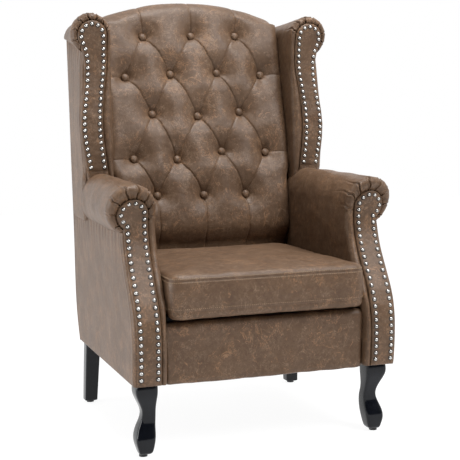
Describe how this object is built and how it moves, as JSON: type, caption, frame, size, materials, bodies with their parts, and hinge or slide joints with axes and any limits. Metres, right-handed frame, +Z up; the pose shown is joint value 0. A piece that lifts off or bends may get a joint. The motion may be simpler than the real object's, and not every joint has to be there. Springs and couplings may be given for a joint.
{
  "type": "chesterfield wingback armchair",
  "caption": "Upholstered wing armchair with a diamond-tufted back, scroll arms, nailhead trim, a loose seat cushion and cabriole front legs",
  "frame": {"origin": "on the floor, at the centre of the chair's width and depth", "axes": "+X to the chair's left-hand side as seen from the front, across its width; the chair faces -Y; +Z up"},
  "size_m": [0.692, 0.679, 1.048],
  "materials": {
    "leather": "aged brown leather, satin",
    "nails": "bright nickel domed nailheads",
    "leg_finish": "black lacquered wood, semi-gloss",
    "timber": "plain sawn beech",
    "glide": "black nail-on glide",
    "hessian": "woven jute",
    "twine": "waxed twine",
    "spring_steel": "plain steel",
    "dust_cloth": "black cambric"
  },
  "bodies": {
    "root": {"right_arm_pad": "leather", "left_arm_pad": "leather", "right_arm_facing": "leather", "left_arm_facing": "leather", "right_arm_nails": "nails", "left_arm_nails": "nails", "right_wing_pad": "leather", "left_wing_pad": "leather", "right_wing_facing": "leather", "left_wing_facing": "leather", "right_wing_nails": "nails", "left_wing_nails": "nails", "right_outside_arm": "leather", "left_outside_arm": "leather", "right_outside_wing": "leather", "left_outside_wing": "leather", "right_front_post": "timber", "left_front_post": "timber", "right_back_post": "timber", "left_back_post": "timber", "right_wing_post": "timber", "left_wing_post": "timber", "right_arm_rail": "timber", "left_arm_rail": "timber", "right_wing_top_rail": "timber", "left_wing_top_rail": "timber", "right_side_rail": "timber", "left_side_rail": "timber", "right_back_slat": "timber", "left_back_slat": "timber", "right_front_leg": "leg_finish", "left_front_leg": "leg_finish", "right_rear_leg": "leg_finish", "left_rear_leg": "leg_finish", "right_front_glide": "glide", "left_front_glide": "glide", "right_rear_glide": "glide", "left_rear_glide": "glide", "inside_back": "leather", "back_buttons": "leather", "tufting_twines": "twine", "back_hessian": "hessian", "back_webbing": "hessian", "outside_back": "leather", "front_border": "leather", "seat_deck": "hessian", "seat_springs": "spring_steel", "spring_clips": "spring_steel", "front_rail": "timber", "rear_rail": "timber", "crest_rail": "timber", "corner_blocks": "timber", "leg_bolts": "spring_steel", "threaded_inserts": "spring_steel", "dust_cover": "dust_cloth"},
    "seat_cushion": {"seat_cushion": "leather"}
  },
  "joints": [
    {"name": "cushion_lift", "type": "slide", "parent": "root", "child": "seat_cushion", "axis": [0, -0.7071, 0.7071], "range_m": [0, 0.75]}
  ]
}
